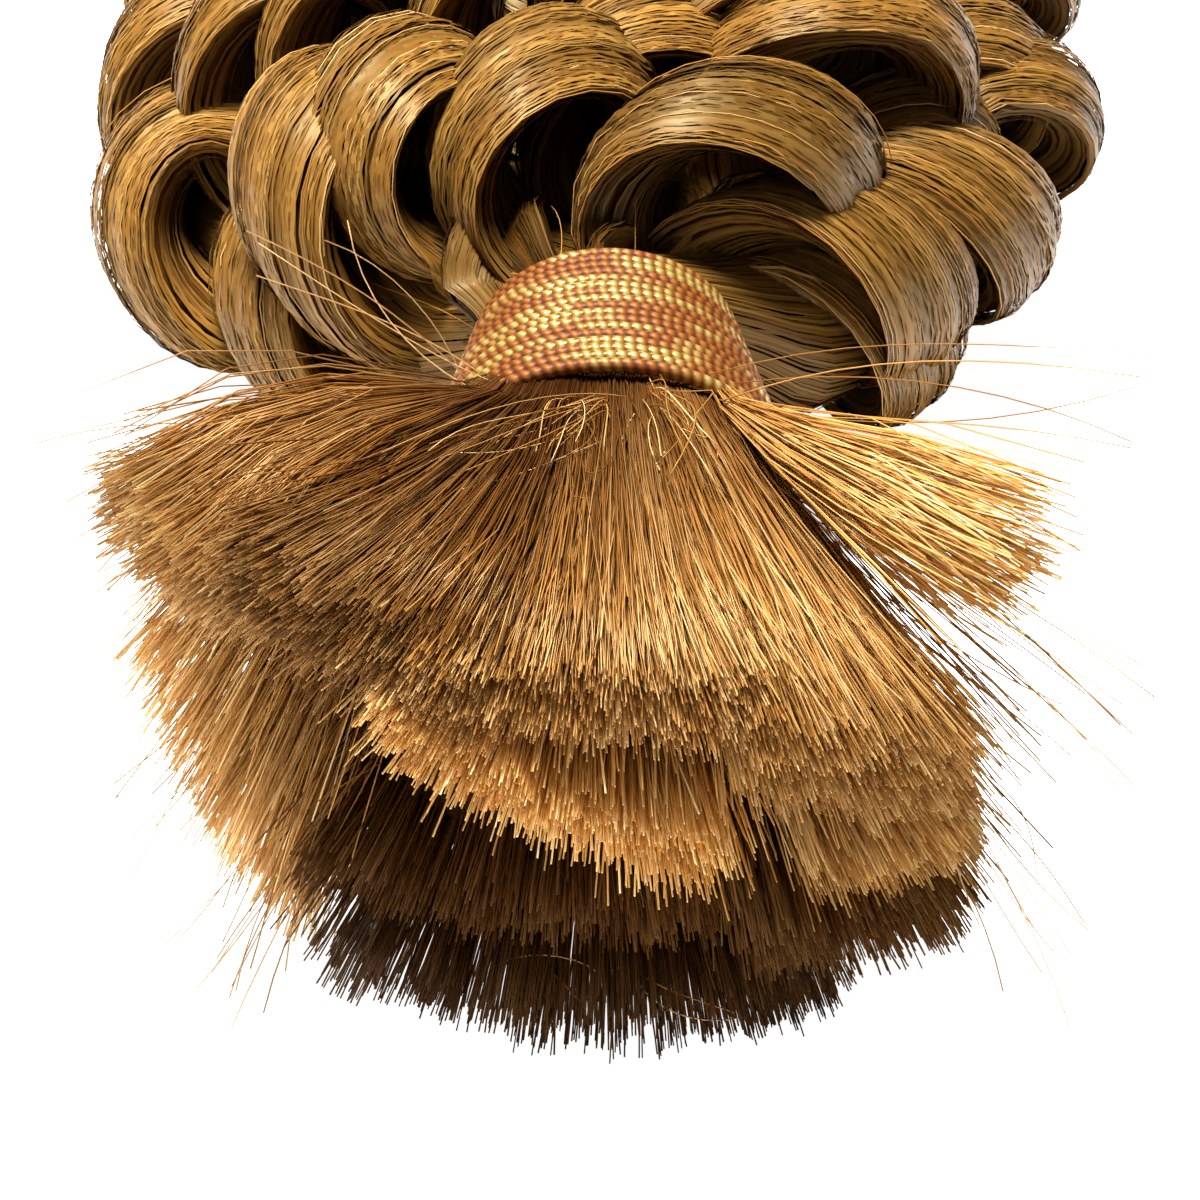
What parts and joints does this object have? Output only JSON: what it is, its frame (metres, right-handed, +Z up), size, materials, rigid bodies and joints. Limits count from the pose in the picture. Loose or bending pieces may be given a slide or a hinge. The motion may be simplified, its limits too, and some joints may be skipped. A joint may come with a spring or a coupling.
{
  "type": "bulk hair extension",
  "caption": "Bundle of waved honey-blonde hair, tied near its flared blunt cut end with a wound copper thread and lying flat; loose hair for braiding, extensions and wigs.",
  "frame": {"origin": "middle of the part's bounding box in plan, on the surface that it lies on", "axes": "+Z up from the surface, +Y along the bundle from the cut end to the waved end, +X to the right seen from the cut end"},
  "size_m": [0.091, 0.1642, 0.0364],
  "materials": {
    "hair_cut_ends": "silky straight strands, cut blunt",
    "tie_thread": "twisted glossy copper thread",
    "hair_waved": "silky waved strands"
  },
  "bodies": {
    "root": {"cut_end_brush": "hair_cut_ends", "tie_wrap": "tie_thread", "waved_length": "hair_waved"}
  },
  "joints": []
}
